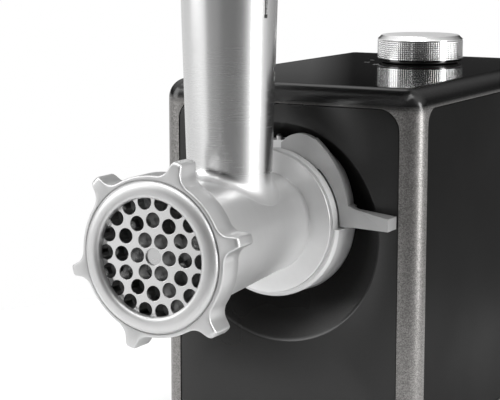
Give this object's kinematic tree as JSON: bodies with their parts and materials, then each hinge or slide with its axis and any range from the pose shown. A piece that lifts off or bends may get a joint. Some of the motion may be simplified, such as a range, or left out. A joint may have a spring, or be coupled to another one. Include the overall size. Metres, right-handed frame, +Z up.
{
  "type": "electric meat grinder",
  "caption": "Electric meat grinder: motor housing with a speed knob, a cast grinding head held by a side lever, a lugged ring nut, a hopper tray and a food pusher.",
  "frame": {"origin": "on the table under the middle of the whole grinder's length and width", "axes": "+X to the right of the front, +Y from the head towards the rear cover, +Z up; the drive axis runs along Y, 155 mm above the table"},
  "size_m": [0.178, 0.4056, 0.363],
  "materials": {
    "coated_frame": "grainy satin metallic",
    "front_finish": "fine satin metallic, dark grey",
    "side_finish": "satin metallic, near black",
    "gloss_top": "high gloss black",
    "black_plastic": "fine moulded grain",
    "rubber": "matte",
    "cast_head": "satin, blasted and turned",
    "cast_inner": "as cast",
    "steel": "ground",
    "tray_steel": "brushed sheet",
    "knob_metal": "knurled and spun, bright",
    "bronze": "sintered",
    "copper": "enamelled wire",
    "lamination": "stacked sheet",
    "carbon": "pressed carbon",
    "nylon": "moulded",
    "sintered": "sintered steel",
    "circuit_board": "solder mask"
  },
  "bodies": {
    "housing": {"base_plate": "black_plastic", "rubber_feet": "rubber", "foot_screws": "steel", "body_shell": "coated_frame", "front_panel": "front_finish", "left_side_panel": "side_finish", "right_side_panel": "side_finish", "top_plate": "gloss_top", "rear_cover": "black_plastic", "rear_screws": "steel", "cord_gland": "black_plastic", "gearbox_housing": "cast_inner", "gearbox_cover": "cast_inner", "gearbox_screws": "steel", "head_socket": "cast_head", "socket_screws": "steel", "detent_pin": "steel", "output_front_bush": "bronze", "output_rear_bush": "bronze", "first_gear_shaft": "steel", "second_gear_shaft": "steel", "motor_front_bracket": "cast_inner", "motor_rear_bracket": "cast_inner", "stator_core": "lamination", "field_coils": "copper", "motor_front_bearing": "steel", "motor_rear_bearing": "steel", "motor_bolts": "steel", "brush_holders": "bronze", "carbon_brushes": "carbon", "control_board": "circuit_board", "selector_switch": "black_plastic", "switch_nut": "steel"},
    "knob": {"switch_shaft": "steel", "knob_hub": "black_plastic", "speed_knob": "knob_metal"},
    "lever": {"locking_lever": "cast_head"},
    "motor": {"motor_shaft": "steel", "armature_core": "lamination", "armature_windings": "copper", "commutator": "copper", "cooling_fan": "black_plastic"},
    "first_reduction": {"first_gear": "nylon", "first_pinion": "steel"},
    "second_reduction": {"second_gear": "nylon", "second_pinion": "steel"},
    "output": {"output_gear": "sintered", "output_shaft": "steel"},
    "head": {"head_casting": "cast_head", "feed_tube": "cast_head", "auger_bush": "bronze", "plate_key": "steel"},
    "auger": {"auger": "cast_inner", "auger_shank": "steel", "knife_pin": "steel", "knife": "steel"},
    "plate": {"perforated_plate": "steel"},
    "ring": {"ring_nut": "cast_head"},
    "tray": {"hopper_tray": "tray_steel"},
    "pusher": {"food_pusher": "black_plastic"}
  },
  "joints": [
    {"name": "motor_spin", "type": "hinge", "parent": "housing", "child": "motor", "pos_m": [0.00024, 0.0388, 0.12281], "axis": [0, -1, 0], "continuous": true},
    {"name": "first_gear_spin", "type": "hinge", "parent": "housing", "child": "first_reduction", "pos_m": [-0.00883, -0.0012, 0.08642], "axis": [0, -1, 0], "continuous": true},
    {"name": "second_gear_spin", "type": "hinge", "parent": "housing", "child": "second_reduction", "pos_m": [0.02614, -0.0162, 0.11474], "axis": [0, -1, 0], "continuous": true},
    {"name": "output_spin", "type": "hinge", "parent": "housing", "child": "output", "pos_m": [0, -0.0212, 0.155], "axis": [0, -1, 0], "continuous": true},
    {"name": "auger_spin", "type": "hinge", "parent": "head", "child": "auger", "pos_m": [0, -0.1212, 0.155], "axis": [0, -1, 0], "continuous": true},
    {"name": "knob_turn", "type": "hinge", "parent": "housing", "child": "knob", "pos_m": [0.009, 0.1258, 0.233], "axis": [0, 0, -1], "range_deg": [-45, 180]},
    {"name": "lever_turn", "type": "hinge", "parent": "housing", "child": "lever", "pos_m": [0, -0.0612, 0.155], "axis": [0, -1, 0], "range_deg": [0, 42]},
    {"name": "head_release", "type": "slide", "parent": "housing", "child": "head", "axis": [0, -1, 0], "range_m": [0, 0.045]},
    {"name": "plate_travel", "type": "slide", "parent": "head", "child": "plate", "axis": [0, -1, 0], "range_m": [0, 0.0052]},
    {"name": "ring_turn", "type": "hinge", "parent": "plate", "child": "ring", "pos_m": [0, -0.1912, 0.155], "axis": [0, -1, 0], "range_deg": [0, 450]},
    {"name": "tray_lift", "type": "slide", "parent": "head", "child": "tray", "axis": [0, 0, 1], "range_m": [0, 0.06]},
    {"name": "pusher_lift", "type": "slide", "parent": "tray", "child": "pusher", "axis": [0, 0, 1], "range_m": [0, 0.12]}
  ],
  "couplings": [
    {"joint": "first_gear_spin", "follows": "motor_spin", "ratio": -0.2},
    {"joint": "second_gear_spin", "follows": "motor_spin", "ratio": 0.05},
    {"joint": "output_spin", "follows": "motor_spin", "ratio": -0.016667},
    {"joint": "auger_spin", "follows": "motor_spin", "ratio": -0.016667},
    {"joint": "plate_travel", "follows": "ring_turn", "m_per_rad": 0.00063662}
  ]
}
